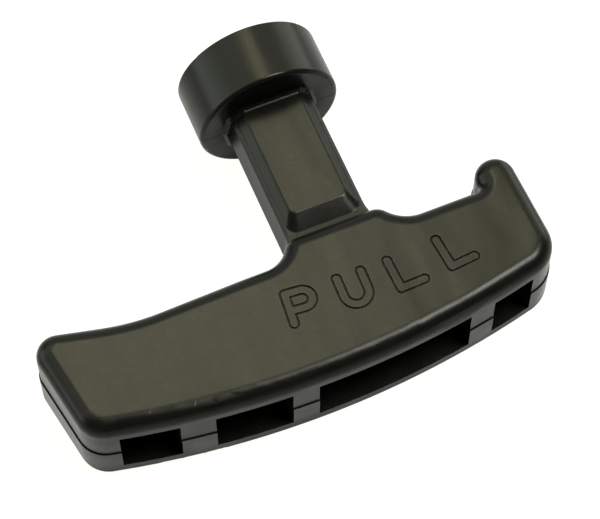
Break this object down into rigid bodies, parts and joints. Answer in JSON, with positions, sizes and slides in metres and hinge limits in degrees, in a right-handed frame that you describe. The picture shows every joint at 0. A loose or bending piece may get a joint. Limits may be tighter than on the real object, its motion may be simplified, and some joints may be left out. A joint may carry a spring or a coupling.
{
  "type": "recoil starter pull handle",
  "caption": "T-shaped moulded pull handle for a recoil starter rope: round collar, flat stem, curved grip bar with a horn and edge pockets.",
  "frame": {"origin": "mouth of the rope bore, at the centre of the collar's outer end face", "axes": "+Y along the rope as it leaves the handle, X along the grip bar with the horn on +X, +Z out of the front face"},
  "size_m": [0.1333, 0.0978, 0.0394],
  "materials": {
    "shell": "semi-gloss black moulded nylon",
    "bushing_steel": "zinc plated",
    "washer_steel": "zinc plated",
    "screw_steel": "zinc plated"
  },
  "bodies": {
    "handle": {"front_shell": "shell", "rear_shell": "shell", "rope_bushing": "bushing_steel", "screw_stem_left": "screw_steel", "screw_stem_right": "screw_steel", "screw_bar_left": "screw_steel", "screw_bar_middle": "screw_steel", "screw_bar_right": "screw_steel"},
    "retainer": {"knot_retainer": "washer_steel"}
  },
  "joints": [
    {"name": "retainer_slide", "type": "slide", "parent": "handle", "child": "retainer", "axis": [0, -1, 0], "range_m": [0, 0.022]}
  ]
}
